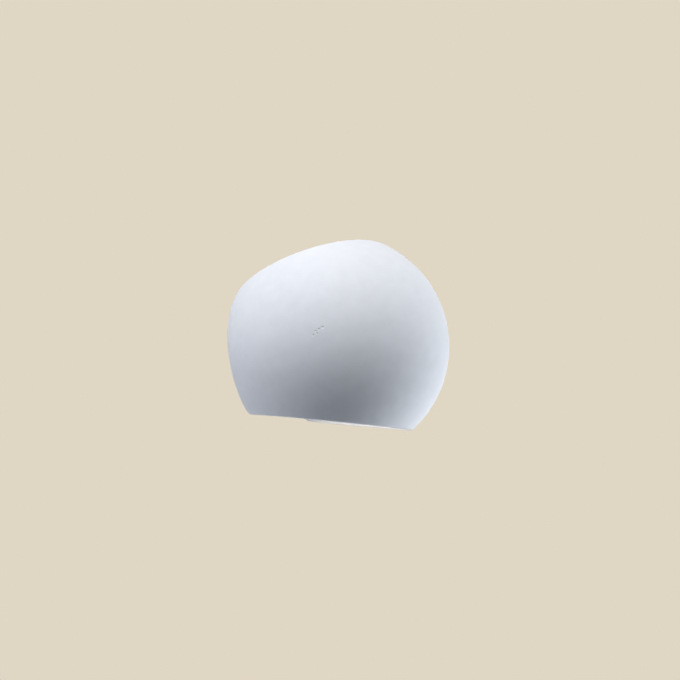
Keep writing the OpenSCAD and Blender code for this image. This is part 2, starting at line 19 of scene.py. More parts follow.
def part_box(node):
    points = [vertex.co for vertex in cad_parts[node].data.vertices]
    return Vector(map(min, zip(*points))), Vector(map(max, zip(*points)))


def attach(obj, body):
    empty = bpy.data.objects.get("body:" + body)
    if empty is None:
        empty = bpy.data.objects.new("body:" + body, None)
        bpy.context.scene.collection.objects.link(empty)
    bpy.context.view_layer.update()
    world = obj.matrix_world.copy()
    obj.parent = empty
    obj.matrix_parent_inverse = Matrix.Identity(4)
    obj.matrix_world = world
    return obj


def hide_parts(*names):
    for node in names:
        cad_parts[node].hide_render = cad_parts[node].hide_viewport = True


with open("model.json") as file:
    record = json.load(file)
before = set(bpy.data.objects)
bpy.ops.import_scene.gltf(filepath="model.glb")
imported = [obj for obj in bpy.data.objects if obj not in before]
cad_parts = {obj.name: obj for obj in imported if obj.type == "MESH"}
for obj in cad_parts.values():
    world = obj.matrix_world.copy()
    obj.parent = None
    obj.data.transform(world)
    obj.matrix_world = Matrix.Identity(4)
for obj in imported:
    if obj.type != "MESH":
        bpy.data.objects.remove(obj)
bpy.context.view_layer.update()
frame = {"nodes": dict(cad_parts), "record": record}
nodes = frame["nodes"]
slot_of = {name: node.data.materials[0].name for name, node in nodes.items()}
print("pieces loaded:", len(nodes), "finishes to make:", sorted(set(slot_of.values())))


# %% [markdown]
# ## Camera
#
# The light was photographed from its left and from below, with the camera tilted
# a little. The view could be found by moving a camera by hand, but numbers can be
# measured and repeated. So the camera looks at the middle of the ball along a
# direction of two angles, its tilt is a third angle, and the lens and the shift
# put the ball at the right size and place in the frame.

# %% Measure the ball
shade_low, shade_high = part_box("shade")
BALL_R = (shade_high.x - shade_low.x) / 2
BALL_MIDDLE = Vector((0, shade_low.y + BALL_R, 0))
print("ball radius", round(BALL_R, 4), "middle", BALL_MIDDLE)

# %% Directions of the view
VIEW_TURN = math.radians(63.0)
VIEW_RISE = math.radians(11.0)
VIEW_ROLL = math.radians(-6.45)

forward = Vector((math.sin(VIEW_TURN) * math.cos(VIEW_RISE),
                  math.cos(VIEW_TURN) * math.cos(VIEW_RISE), math.sin(VIEW_RISE)))
level_right = Vector((math.cos(VIEW_TURN), -math.sin(VIEW_TURN), 0))
level_up = level_right.cross(forward)
right = level_right * math.cos(VIEW_ROLL) + level_up * math.sin(VIEW_ROLL)
up = level_up * math.cos(VIEW_ROLL) - level_right * math.sin(VIEW_ROLL)
print("the camera looks along", forward)

# %% Place the camera
BALL_RADIUS_PX = 112.25
BALL_MIDDLE_PX = (336.5, 346.5)
DISTANCE_IN_RADII = 9.85
FRAME_PX = 680
SENSOR_MM = 36
NEAREST_SEEN = 0.01

camera_data = bpy.data.cameras.new("camera")
camera_data.sensor_width = SENSOR_MM
camera_data.lens = SENSOR_MM * BALL_RADIUS_PX * DISTANCE_IN_RADII / FRAME_PX
camera_data.shift_x = (FRAME_PX / 2 - BALL_MIDDLE_PX[0]) / FRAME_PX
camera_data.shift_y = (BALL_MIDDLE_PX[1] - FRAME_PX / 2) / FRAME_PX
camera_data.clip_start = NEAREST_SEEN
camera = bpy.data.objects.new("camera", camera_data)
turn = Matrix((right, up, -forward)).transposed().to_4x4()
place = BALL_MIDDLE - forward * BALL_R * DISTANCE_IN_RADII
camera.matrix_world = Matrix.Translation(place) @ turn
bpy.context.scene.collection.objects.link(camera)
bpy.context.scene.camera = camera
bpy.context.scene.view_settings.view_transform = "Standard"
print("camera at", place, "lens", round(camera_data.lens, 2))


# %% [markdown]
# ## Node helpers
#
# Materials and Geometry Nodes are both graphs. Every node and link could be written
# out by hand, but a page of wiring hides the idea behind it. So a small class adds
# one node a line, and a socket, a number or a tuple can be given for any input.

# %% A graph that is short to write
class Graph:
    """Adds nodes to a tree: node returns the new node, the others its output."""

    def __init__(self, tree):
        self.tree = tree

    def set(self, socket, value):
        if isinstance(value, bpy.types.NodeSocket):
            self.tree.links.new(value, socket)
        else:
            socket.default_value = value

    def node(self, kind, *values, **settings):
        made = self.tree.nodes.new(kind)
        named = settings.pop("inputs", {})
        for key, value in settings.items():
            setattr(made, key, value)
        for socket, value in zip(made.inputs, values):
            self.set(socket, value)
        for key, value in named.items():
            self.set(made.inputs[key], value)
        return made

    def math(self, operation, *values):
        return self.node("ShaderNodeMath", *values, operation=operation).outputs[0]

    def vector(self, operation, *values):
        made = self.node("ShaderNodeVectorMath", *values, operation=operation)
        gives_number = operation in ("LENGTH", "DISTANCE")
        return made.outputs["Value" if gives_number else "Vector"]

    def add(self, a, b):
        return self.math("ADD", a, b)

    def sub(self, a, b):
        return self.math("SUBTRACT", a, b)

    def mul(self, a, b):
        return self.math("MULTIPLY", a, b)

    def low(self, a, b):
        return self.math("MINIMUM", a, b)

    def high(self, a, b):
        return self.math("MAXIMUM", a, b)

    def absolute(self, a):
        return self.math("ABSOLUTE", a)

    def split(self, v):
        return self.node("ShaderNodeSeparateXYZ", v).outputs

    def join(self, x, y, z):
        return self.node("ShaderNodeCombineXYZ", x, y, z).outputs[0]


print("graph shortcuts:", [name for name in vars(Graph) if not name.startswith("_")])


# %% [markdown]
# A Geometry Nodes tree takes its sizes through named inputs, so that one tree can
# make many pieces. Its last nodes turn what repeats into real faces and set the
# material. The result could stay a live modifier, but a plain mesh is what is
# measured and exported, so it is copied to one and the modifier is removed.

# %% Begin and end a tree
def geometry_tree(name, sizes):
    """An empty Geometry Nodes tree with one named input for each size."""
    tree = bpy.data.node_groups.new(name, "GeometryNodeTree")
    tree.interface.new_socket("Geometry", in_out="INPUT", socket_type="NodeSocketGeometry")
    for size, value in sizes.items():
        kind = "NodeSocketInt" if isinstance(value, int) else "NodeSocketFloat"
        socket = tree.interface.new_socket(size, in_out="INPUT", socket_type=kind)
        socket.default_value = value
    tree.interface.new_socket("Material", in_out="INPUT", socket_type="NodeSocketMaterial")
    tree.interface.new_socket("Geometry", in_out="OUTPUT", socket_type="NodeSocketGeometry")
    print("tree", name, "has", len(sizes), "sizes")
    return tree, Graph(tree), tree.nodes.new("NodeGroupInput").outputs


def finish_tree(graph, geometry, given):
    """Realizes what repeats, smooths it, sets the material and ends the tree."""
    real = graph.node("GeometryNodeRealizeInstances", geometry).outputs[0]
    smooth = graph.node("GeometryNodeSetShadeSmooth", real).outputs[0]
    made = graph.node("GeometryNodeSetMaterial", smooth,
                      inputs={"Material": given["Material"]}).outputs[0]
    graph.set(graph.tree.nodes.new("NodeGroupOutput").inputs[0], made)
    print("tree", graph.tree.name, "has", len(graph.tree.nodes), "nodes")


# %% Grow a tree into a plain mesh
def grow(name, tree, material, start=None, sizes=None):
    """Runs a tree on a start mesh and returns the result as a plain mesh object."""
    mesh = start or bpy.data.meshes.new(name)
    piece = bpy.data.objects.new(name, mesh)
    bpy.context.scene.collection.objects.link(piece)
    modifier = piece.modifiers.new("nodes", "NODES")
    modifier.node_group = tree
    for item in tree.interface.items_tree:
        if item.in_out != "INPUT" or item.name == "Geometry":
            continue
        if item.name == "Material":
            modifier[item.identifier] = material
        elif sizes and item.name in sizes:
            modifier[item.identifier] = sizes[item.name]
        else:
            modifier[item.identifier] = item.default_value
    bpy.context.view_layer.update()
    ready = piece.evaluated_get(bpy.context.evaluated_depsgraph_get())
    plain = bpy.data.meshes.new_from_object(ready)
    piece.modifiers.remove(modifier)
    piece.data = plain
    plain.name = name
    plain.materials.clear()
    plain.materials.append(material)
    print(name, "has", len(plain.polygons), "faces")
    return piece


# %% [markdown]
# ## Finishes
#
# No real surface is one flat colour. A photograph of each material could be wrapped
# round the pieces, but noise needs no file and has a real scale. So every finish
# starts from one Principled shader: wide patches of noise vary its colour, and a
# fine grain breaks up its gloss. All patterns read Object coordinates in metres, so
# they stay put when a piece moves.

# %% Finish helper
MM = 0.001
NOISE_LOW, NOISE_HIGH = 0.3, 0.7
PATCH_IN_GRAINS = 12
GLOSS_SPREAD = 0.06
looks = {}


def look(name, colour, rough, metal=0.0, vary=0.04, grain=900.0, bump=0.1,
         stretch=(1, 1, 1), deep=0.1 * MM):
    """Makes a mottled finish with a fine grain and keeps it under its name."""
    material = bpy.data.materials.new(name + "_finish")
    material.use_nodes = True
    graph = Graph(material.node_tree)
    shader = material.node_tree.nodes["Principled BSDF"]
    where = graph.node("ShaderNodeTexCoord").outputs["Object"]
    where = graph.vector("MULTIPLY", where, stretch)
    patches = graph.node("ShaderNodeTexNoise", inputs={
        "Vector": where, "Scale": grain / PATCH_IN_GRAINS, "Detail": 4.0}).outputs[0]
    fine = graph.node("ShaderNodeTexNoise", inputs={
        "Vector": where, "Scale": grain, "Detail": 3.0}).outputs[0]
    tint = graph.node("ShaderNodeValToRGB", patches)
    darker, paler = tint.color_ramp.elements
    darker.position = NOISE_LOW
    paler.position = NOISE_HIGH
    darker.color = [c * (1 - vary) for c in colour] + [1]
    paler.color = [min(1, c * (1 + vary)) for c in colour] + [1]
    gloss = graph.node("ShaderNodeMapRange", fine, NOISE_LOW, NOISE_HIGH,
                       rough - GLOSS_SPREAD, rough + GLOSS_SPREAD)
    relief = graph.node("ShaderNodeBump", inputs={
        "Strength": bump, "Distance": deep, "Height": fine}).outputs[0]
    graph.set(shader.inputs["Base Color"], tint.outputs[0])
    graph.set(shader.inputs["Roughness"], gloss.outputs[0])
    graph.set(shader.inputs["Normal"], relief)
    shader.inputs["Metallic"].default_value = metal
    looks[name] = material
    return material


print("a patch is", PATCH_IN_GRAINS, "times as wide as a grain")


# %% [markdown]
# The bracket and the strip that carries the lampholder are zinc-plated sheet.
# Rolling left long faint streaks in it, so its noise is stretched up and down. The
# screws are plated too, but smoother and brighter, and the springs are brass.

# %% Metals
look("zinc_sheet", (0.45, 0.46, 0.48), 0.48, 1.0, vary=0.12, grain=1800,
     stretch=(1, 1, 0.06), bump=0.15)
look("zinc_fastener", (0.60, 0.60, 0.61), 0.32, 1.0, vary=0.08, grain=2500)
look("knurled_steel", (0.58, 0.58, 0.59), 0.28, 1.0, vary=0.08, grain=2500)
look("spring_brass", (0.76, 0.56, 0.26), 0.3, 1.0, vary=0.06)
look("pin_wire", (0.70, 0.70, 0.71), 0.22, 1.0, vary=0.05)
look("tinned_copper", (0.68, 0.68, 0.66), 0.35, 1.0, vary=0.08)
print("metals made:", len(looks))


# %% [markdown]
# The lampholder is ceramic, the bush is black plastic, the terminal block and the
# lamp's base are white plastic, and the leads have coloured insulation in silicone
# sleeves. These differ from the metals in having no metallic part and less mottle.

# %% Ceramic, plastic and rubber
look("steatite", (0.78, 0.74, 0.66), 0.5, vary=0.03, grain=2500, bump=0.2)
look("black_plastic", (0.028, 0.028, 0.030), 0.45, vary=0.15, grain=3000)
look("block_plastic", (0.78, 0.76, 0.70), 0.42, vary=0.03, grain=2500)
look("lamp_white", (0.80, 0.80, 0.78), 0.4, vary=0.02, grain=2500)
look("chip_strip", (0.86, 0.70, 0.24), 0.5, vary=0.06, grain=2500)
look("white_silicone", (0.76, 0.76, 0.73), 0.6, vary=0.04)
look("brown_insulation", (0.16, 0.065, 0.03), 0.38, vary=0.06)
look("blue_insulation", (0.03, 0.13, 0.42), 0.38, vary=0.06)
print("finishes made:", len(looks))


# %% [markdown]
# The shade is cast from a white compound and left matt. A real casting isn't a
# perfect ball: its surface rises and falls by a few hundredths of a millimetre, and
# here and there a bubble left a small pit. They could be modelled, but both are too
# fine for the faces of the mesh, so they are relief in the finish. Each pit has its
# own place, given in millimetres from the middle of the ball, and its radius.

# %% Cast compound
PITS_MM = (
    (-83.6, -33.2, -2.2, 1.4),
    (-84.6, -30.6, -3.3, 1.2),
    (-85.4, -28.0, -4.2, 0.9),
    (-85.0, -28.8, -6.2, 1.0),
    (-85.9, -25.9, -6.8, 1.2),
    (-73.2, 12.1, -50.9, 1.0),
)
PIT_DEPTH_MM = 0.4
WAVE_MM = 0.22
WAVES_PER_METRE = 60.0
cast_white = look("cast_white", (0.78, 0.80, 0.85), 0.72, grain=1400, vary=0.02,
                  bump=0.25, deep=0.08 * MM)
g = Graph(cast_white.node_tree)
shader = cast_white.node_tree.nodes["Principled BSDF"]
shader.inputs["Specular IOR Level"].default_value = 0.3
where = g.node("ShaderNodeTexCoord").outputs["Object"]
waves = g.node("ShaderNodeTexNoise", inputs={
    "Vector": where, "Scale": WAVES_PER_METRE, "Detail": 1.0}).outputs[0]
height = g.mul(waves, WAVE_MM)
for x, y, z, pit_radius in PITS_MM:
    away = g.vector("DISTANCE", where, BALL_MIDDLE + Vector((x, y, z)) * MM)
    dip = g.node("ShaderNodeMapRange", away, 0.0, pit_radius * MM, -PIT_DEPTH_MM, 0.0,
                 interpolation_type="SMOOTHSTEP").outputs[0]
    height = g.add(height, dip)
uneven = g.node("ShaderNodeBump", inputs={
    "Strength": 1.0, "Distance": MM, "Height": height,
    "Normal": shader.inputs["Normal"].links[0].from_socket}).outputs[0]
g.set(shader.inputs["Normal"], uneven)
print("cast compound with", len(PITS_MM), "pits")


# %% [markdown]
# The frosted globe glows, because the lamp is lit. A lamp object inside a glass
# globe would need glass that scatters light, which is slow and noisy to render. So
# the frosted skin itself glows, warm, and weaker towards its foot, where the chips
# inside it end.

# %% Lit globe
GLOBE_FOOT_DEPTH = 34.5 * MM
FULL_GLOW_DEPTH = 42.0 * MM
FOOT_GLOW, FULL_GLOW = 0.35, 0.8
WARM_WHITE = (1.0, 0.84, 0.64, 1)
globe = look("frosted_glass", (0.55, 0.54, 0.52), 0.45, vary=0.01)
g = Graph(globe.node_tree)
shader = globe.node_tree.nodes["Principled BSDF"]
depth = g.mul(g.split(g.node("ShaderNodeTexCoord").outputs["Object"])[1], -1.0)
glow = g.node("ShaderNodeMapRange", depth, GLOBE_FOOT_DEPTH, FULL_GLOW_DEPTH,
              FOOT_GLOW, FULL_GLOW).outputs[0]
g.set(shader.inputs["Emission Strength"], glow)
shader.inputs["Emission Color"].default_value = WARM_WHITE
print("the globe glows from", FOOT_GLOW, "to", FULL_GLOW)


# %% [markdown]
# The earth lead has a yellow stripe that winds along its green insulation. A stripe
# on Object coordinates would run straight through each bend. So it reads where a
# point lies round the wire and along it, which the piece itself carries.

# %% Striped lead
STRIPE_TURN_LENGTH = 40 * MM
STRIPE_FROM, STRIPE_TO = 0.45, 0.55
STRIPE_YELLOW = (0.78, 0.60, 0.03, 1)
striped = look("earth_insulation", (0.20, 0.42, 0.05), 0.38, vary=0.06)
g = Graph(striped.node_tree)
shader = striped.node_tree.nodes["Principled BSDF"]
around = g.node("ShaderNodeAttribute", attribute_name="around").outputs["Vector"]
across, beside = g.split(around)[:2]
along = g.node("ShaderNodeAttribute", attribute_name="along").outputs["Fac"]
wound = g.mul(along, math.tau / STRIPE_TURN_LENGTH)
round_angle = g.add(g.math("ARCTAN2", beside, across), wound)
stripe = g.node("ShaderNodeMapRange", g.math("SINE", round_angle), STRIPE_FROM, STRIPE_TO,
                0.0, 1.0).outputs[0]
painted = g.node("ShaderNodeMix", data_type="RGBA")
mix_share, mix_green, mix_yellow = (painted.inputs[i] for i in (0, 6, 7))
g.set(mix_share, stripe)
g.set(mix_green, shader.inputs["Base Color"].links[0].from_socket)
g.set(mix_yellow, STRIPE_YELLOW)
g.set(shader.inputs["Base Color"], painted.outputs[2])
print("the stripe turns once in", STRIPE_TURN_LENGTH / MM, "mm")

# %% Give each loaded piece its finish
for name, node in nodes.items():
    node.data.materials[0] = looks[slot_of[name]]
print("finishes given:", len(looks))


# %% [markdown]
# ## The shade
#
# The shade is a ball, hollowed by a smaller ball, cut by two tilted planes and by a
# flat back, with two lugs inside that melt into it. It could be cut from a sphere
# with Booleans, but no bevel follows the sharp corners where the curved cuts meet.
# So the form is written as one number at every point of space: the distance to its
# surface, negative inside. Unions and cuts become minimum and maximum, and a
# rounded edge is a maximum with a soft corner. A volume samples that number, a mesh
# is drawn where it is zero, and the same number then pulls each corner of the mesh
# exactly onto the surface.

# %% Sizes of the shade, in metres
MESH_SLACK = 0.00005
SHADE_SIZES = {
    "Ball Radius": BALL_R - MESH_SLACK,
    "Wall": 0.007,
    "Rim Height": 0.061,
    "Rim Tilt": math.radians(13.4),
    "Rim Round": 0.002,
    "Corner Round": 0.006,
    "Back Round": 0.0012,
    "Lug Face": 0.053,
    "Lug Height": 0.024,
    "Lug Depth": 0.034,
    "Lug Round": 0.003,
    "Lug Blend": 0.005,
    "Groove Radius": 0.0022,
    "Groove Depth": 0.004,
    "Groove End": 0.020,
}
LUG_ROOT = 0.001
BACK = shade_high.y
print("the shade has", len(SHADE_SIZES), "sizes")


# %% Cuts and unions of distances
def rounded_cut(g, a, b, radius, lean=0.0):
    """The space inside both a and b, with their edge rounded.

    lean is the cosine between the directions that the two faces look in: 0 where
    they are square to each other, above 0 at a blunt edge, below 0 at a sharp one.
    """
    a, b = g.add(a, radius), g.add(b, radius)
    past_a = g.sub(a, g.mul(b, lean))
    past_b = g.sub(b, g.mul(a, lean))
    squares = g.add(g.mul(a, past_a), g.mul(b, past_b))
    sine_squared = g.sub(1.0, g.mul(lean, lean))
    corner = g.math("SQRT", g.math("DIVIDE", squares, sine_squared))
    at_corner = g.math("GREATER_THAN", g.low(past_a, past_b), 0.0)
    flat = g.mul(g.high(a, b), g.sub(1.0, at_corner))
    return g.sub(g.math("MULTIPLY_ADD", corner, at_corner, flat), radius)


def melted_union(g, a, b, blend):
    """The space inside a or b, with a fillet where they meet."""
    near = g.high(g.sub(blend, g.absolute(g.sub(a, b))), 0.0)
    return g.sub(g.low(a, b), g.math("DIVIDE", g.mul(g.mul(near, near), 0.25), blend))


print("distances can be cut and joined")


# %% Distance to the shade
def shade_distance(g, given):
    """The distance to the shade at Position, as a field."""
    position = g.node("GeometryNodeInputPosition").outputs[0]
    from_middle = g.vector("SUBTRACT", position, tuple(BALL_MIDDLE))
    x, y, z = g.split(from_middle)[:3]
    radius = g.vector("LENGTH", from_middle)
    inner_radius = g.sub(given["Ball Radius"], given["Wall"])

    # Both rims' planes are one plane here, because z counts without its sign.
    up_part = g.mul(g.absolute(z), g.math("COSINE", given["Rim Tilt"]))
    back_part = g.mul(y, g.math("SINE", given["Rim Tilt"]))
    rim = g.sub(g.add(up_part, back_part), given["Rim Height"])
    depth = g.sub(0.0, g.split(position)[1])
    back = g.sub(-BACK, depth)
    cut = rounded_cut(g, rim, back, given["Corner Round"], g.math("SINE", given["Rim Tilt"]))

    # The shell lies inside the ball, outside the hollow and within the cuts.
    outside = rounded_cut(g, g.sub(radius, given["Ball Radius"]), cut, given["Rim Round"],
                          g.math("DIVIDE", given["Rim Height"], given["Ball Radius"]))
    inside = rounded_cut(g, g.sub(inner_radius, radius), cut, given["Rim Round"],
                         g.math("DIVIDE", given["Rim Height"], g.sub(0.0, inner_radius)))
    shell = g.high(outside, inside)

    # Each lug is a rounded block that ends inside the shell.
    side = g.absolute(x)
    lug_x = g.sub(given["Lug Face"], side)
    lug_y = g.sub(depth, given["Lug Depth"])
    lug_z = g.sub(g.absolute(z), g.mul(given["Lug Height"], 0.5))
    lug = rounded_cut(g, rounded_cut(g, lug_x, lug_y, given["Lug Round"]), lug_z,
                      given["Lug Round"])
    lug = g.high(lug, g.sub(radius, g.add(inner_radius, LUG_ROOT)))
    lug = rounded_cut(g, lug, back, given["Back Round"])
    body = g.high(melted_union(g, shell, lug, given["Lug Blend"]), back)

    # A round-ended groove in each lug takes the tip of a thumbscrew.
    beyond = g.high(g.sub(depth, given["Groove End"]), 0.0)
    groove = g.sub(g.vector("LENGTH", g.join(beyond, z, 0.0)), given["Groove Radius"])
    groove_floor = g.sub(side, g.add(given["Lug Face"], given["Groove Depth"]))
    return g.high(body, g.sub(0.0, g.high(groove, groove_floor)))


print("the shade's back lies at y =", round(BACK, 4))


# %% [markdown]
# The volume is a box of small cubes a little larger than the shade. Its fog goes
# from 1 inside to 0 outside over a short reach, and is one half at the surface.

# %% Sample the distance in a volume
VOXEL = 0.00133
MARGIN = 0.004
FOG_REACH = 0.01
FOG_AT_SURFACE = 0.5
tree, g, given = geometry_tree("cast_shade", SHADE_SIZES)
low = shade_low - Vector((MARGIN, MARGIN, MARGIN))
high = shade_high + Vector((MARGIN, MARGIN, MARGIN))
steps = [int(math.ceil(extent / VOXEL)) for extent in high - low]
high = low + Vector(steps) * VOXEL
fog = g.math("MULTIPLY_ADD", shade_distance(g, given), -FOG_AT_SURFACE / FOG_REACH,
             FOG_AT_SURFACE)
volume = g.node("GeometryNodeVolumeCube", fog, 0.0, tuple(low), tuple(high), *steps)
print("the volume has", steps, "cubes")

# %% Draw the mesh and pull it onto the surface
PULLS = 3
skin = g.node("GeometryNodeVolumeToMesh", volume.outputs[0],
              inputs={"Threshold": FOG_AT_SURFACE}).outputs[0]
distance = shade_distance(g, given)
normal = g.node("GeometryNodeInputNormal").outputs[0]
for _ in range(PULLS):
    pull = g.node("ShaderNodeVectorMath", normal, operation="SCALE")
    g.set(pull.inputs["Scale"], g.sub(0.0, distance))
    skin = g.node("GeometryNodeSetPosition", skin,
                  inputs={"Offset": pull.outputs[0]}).outputs[0]
finish_tree(g, skin, given)
shade = grow("shade_casting", tree, looks["cast_white"])
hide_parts("shade")
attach(shade, "shade")


# %% [markdown]
# ## Turned pieces
#
# The knurled screws, the small screws, the nuts, the washer, the bush and the lamp's
# base and globe are all turned: their outline goes round an axis. Each could be
# modelled alone, but one Geometry Nodes tree is the lathe for all of them. It takes
# an outline as a line of points, lays a grid over it, and bends each row of the grid
# to a circle through its outline point. Inputs add what a lathe alone can't: grooves
# round a knurled head, flats of a nut, a slot or a cross in a screw's head, and a
# row or field of equal pieces.

# %% Sizes of the lathe
LATHE_SIZES = {
    "Segments": 64, "Grooves": 0, "Groove Circle": 1.0, "Groove Radius": 0.0,
    "Groove From": 0.0, "Groove To": 1.0, "Flats": 6, "Across Flats": 2.0,
    "Slots": 0, "Slot Width": 0.001, "Slot Length": 0.01, "Slot Floor": 0.0,
    "Slot Reach": 0.01, "Slot Turn": 0.0, "Count X": 1, "Count Y": 1, "Pitch X": 0.0,
    "Pitch Y": 0.0, "Tilt X": math.pi / 2, "Tilt Y": 0.0, "Place X": 0.0,
    "Place Y": 0.0, "Place Z": 0.0,
}
lathe, g, given = geometry_tree("lathe", LATHE_SIZES)

# %% Lay the grid over the outline
outline = given["Geometry"]
size = g.node("GeometryNodeAttributeDomainSize", outline, component="MESH").outputs[0]
rows_across = g.add(given["Segments"], 1.0)
sheet = g.node("GeometryNodeMeshGrid", 1.0, 1.0, size, rows_across).outputs[0]
number = g.node("GeometryNodeInputIndex").outputs[0]
row = g.math("FLOOR", g.math("DIVIDE", g.add(number, 0.5), rows_across))
step = g.sub(number, g.mul(row, rows_across))
angle = g.math("DIVIDE", g.mul(step, math.tau), given["Segments"])
picked = g.node("GeometryNodeSampleIndex", data_type="FLOAT_VECTOR", domain="POINT")
g.set(picked.inputs["Geometry"], outline)
g.set(picked.inputs["Value"], g.node("GeometryNodeInputPosition").outputs[0])
g.set(picked.inputs["Index"], row)
turned_radius, _, height = g.split(picked.outputs[0])[:3]
print("lathe tree has", len(lathe.nodes), "nodes so far")


# %% Cut grooves and flats, and bend the grid round
MERGE_DISTANCE = 0.000002


def from_sector(count):
    """The angle from the middle of the nearest of count equal sectors."""
    sector = g.math("DIVIDE", math.tau, g.high(count, 1.0))
    whole = g.math("FLOOR", g.add(g.math("DIVIDE", angle, sector), 0.5))
    return g.sub(angle, g.mul(whole, sector))


groove_angle = from_sector(given["Grooves"])
aside = g.mul(given["Groove Circle"], g.math("SINE", groove_angle))
reach = g.sub(g.mul(given["Groove Radius"], given["Groove Radius"]), g.mul(aside, aside))
bottom = g.sub(g.mul(given["Groove Circle"], g.math("COSINE", groove_angle)),
               g.math("SQRT", g.high(reach, 0.0)))
grooved = g.math("GREATER_THAN", reach, 0.0)
for limit, sign in (("Groove From", "GREATER_THAN"), ("Groove To", "LESS_THAN")):
    grooved = g.mul(grooved, g.math(sign, height, given[limit]))
lowered = g.mul(g.high(g.sub(turned_radius, bottom), 0.0), grooved)
flat = g.math("DIVIDE", g.mul(given["Across Flats"], 0.5),
              g.math("COSINE", from_sector(given["Flats"])))
final_radius = g.low(g.sub(turned_radius, lowered), flat)
round_place = g.join(g.mul(final_radius, g.math("COSINE", angle)),
                     g.mul(final_radius, g.math("SINE", angle)), height)
body = g.node("GeometryNodeSetPosition", sheet, inputs={"Position": round_place}).outputs[0]
body = g.node("GeometryNodeMergeByDistance", body,
              inputs={"Distance": MERGE_DISTANCE}).outputs[0]
print("lathe tree has", len(lathe.nodes), "nodes so far")

# %% Cut slots
slot_height = g.sub(given["Slot Reach"], given["Slot Floor"])
cutter_size = g.join(given["Slot Length"], given["Slot Width"], slot_height)
cutter_place = g.join(0.0, 0.0, g.add(given["Slot Floor"], g.mul(slot_height, 0.5)))
cutters = []
for quarter in (0, 1):
    cube = g.node("GeometryNodeMeshCube", cutter_size).outputs[0]
    turn_slot = g.join(0.0, 0.0, g.add(given["Slot Turn"], quarter * math.pi / 2))
    cutters.append(g.node("GeometryNodeTransform", cube, inputs={
        "Translation": cutter_place, "Rotation": turn_slot}).outputs[0])
slotted = [body]
for cutter in cutters:
    cut = g.node("GeometryNodeMeshBoolean", operation="DIFFERENCE", solver="EXACT")
    g.set(cut.inputs["Mesh 1"], slotted[-1])
    g.set(cut.inputs["Mesh 2"], cutter)
    slotted.append(cut.outputs[0])
choice = g.node("GeometryNodeIndexSwitch", data_type="GEOMETRY")
choice.index_switch_items.new()
g.set(choice.inputs[0], given["Slots"])
for slots, made in enumerate(slotted):
    g.set(choice.inputs[slots + 1], made)
print("a piece can have 0 to", len(cutters), "slots")

# %% Repeat and place
spots = g.node("GeometryNodeMeshGrid", g.mul(given["Pitch X"], g.sub(given["Count X"], 1.0)),
               g.mul(given["Pitch Y"], g.sub(given["Count Y"], 1.0)),
               given["Count X"], given["Count Y"]).outputs[0]
field = g.node("GeometryNodeInstanceOnPoints", spots, inputs={
    "Instance": choice.outputs[0]}).outputs[0]
real = g.node("GeometryNodeRealizeInstances", field).outputs[0]
tilted = g.node("GeometryNodeTransform", real, inputs={
    "Translation": g.join(given["Place X"], given["Place Y"], given["Place Z"]),
    "Rotation": g.join(given["Tilt X"], given["Tilt Y"], 0.0)}).outputs[0]
finish_tree(g, tilted, given)


# %% [markdown]
# An outline is listed from its top to its foot, and back up on the inside where the
# piece is hollow. Each point is its distance from the axis and its height, in
# millimetres. No real edge is perfectly sharp, so a helper rounds each corner of an
# outline with a small arc before it is turned.

# %% Outlines with round corners
CORNER_STEPS = 3
LONGEST_SHARE = 0.45
SMALLEST_REACH = 0.02


def rounded_outline(points, radius, closed=False):
    """The outline with an arc at each corner that has room for one."""
    points = [Vector(p) for p in points]
    count = len(points)
    result = []
    for i, corner in enumerate(points):
        if not closed and i in (0, count - 1):
            result.append(corner)
            continue
        before, after = points[i - 1] - corner, points[(i + 1) % count] - corner
        reach = min(radius, LONGEST_SHARE * before.length, LONGEST_SHARE * after.length)
        if reach < SMALLEST_REACH:
            result.append(corner)
            continue
        first, last = corner + before.normalized() * reach, corner + after.normalized() * reach
        for k in range(CORNER_STEPS + 1):
            t = k / CORNER_STEPS
            result.append(first * (1 - t) ** 2 + corner * 2 * t * (1 - t) + last * t ** 2)
    return result + result[:1] if closed else result


print("a round corner has", CORNER_STEPS, "faces")

# %% Threads
THREAD_DEPTH = 0.55


def thread(radius, pitch, top, foot):
    """The zigzag of a screw thread between two heights."""
    turns = max(1, round((top - foot) / pitch))
    pitch = (top - foot) / turns
    zigzag = []
    for k in range(turns):
        zigzag.append((radius - THREAD_DEPTH * pitch, top - k * pitch))
        zigzag.append((radius, top - (k + 0.5) * pitch))
    return zigzag + [(radius - THREAD_DEPTH * pitch, foot)]


print("a thread is", THREAD_DEPTH, "of its pitch deep")

# %% Turn an outline and dress a node with it
body_of = {node: body for body, members in frame["record"]["behaviour"]["bodies"].items()
           for node in members}


def dress(piece, node):
    """Lets a piece stand for a node, in the node's body."""
    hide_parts(node)
    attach(piece, body_of[node])


def turned(node, outline, sizes):
    """Turns an outline in millimetres on the lathe and lets it stand for a node."""
    start = bpy.data.meshes.new(node)
    start.from_pydata([(r * MM, 0, h * MM) for r, h in outline], [], [])
    dress(grow(node + "_turned", lathe, looks[slot_of[node]], start, sizes), node)


print("bodies:", sorted(set(body_of.values())))


# %% [markdown]
# ## Thumbscrews
#
# Two knurled screws hold the shade. Fingers turn the head, and a coin fits its slot
# when they are tight. The knurl could be relief in the finish, but it shows against
# the light, so it is cut into the mesh. The outline runs from the smooth tip, over
# the thread and the collar, to the head. Each screw is a piece of its own, because
# each rides on its own joint.

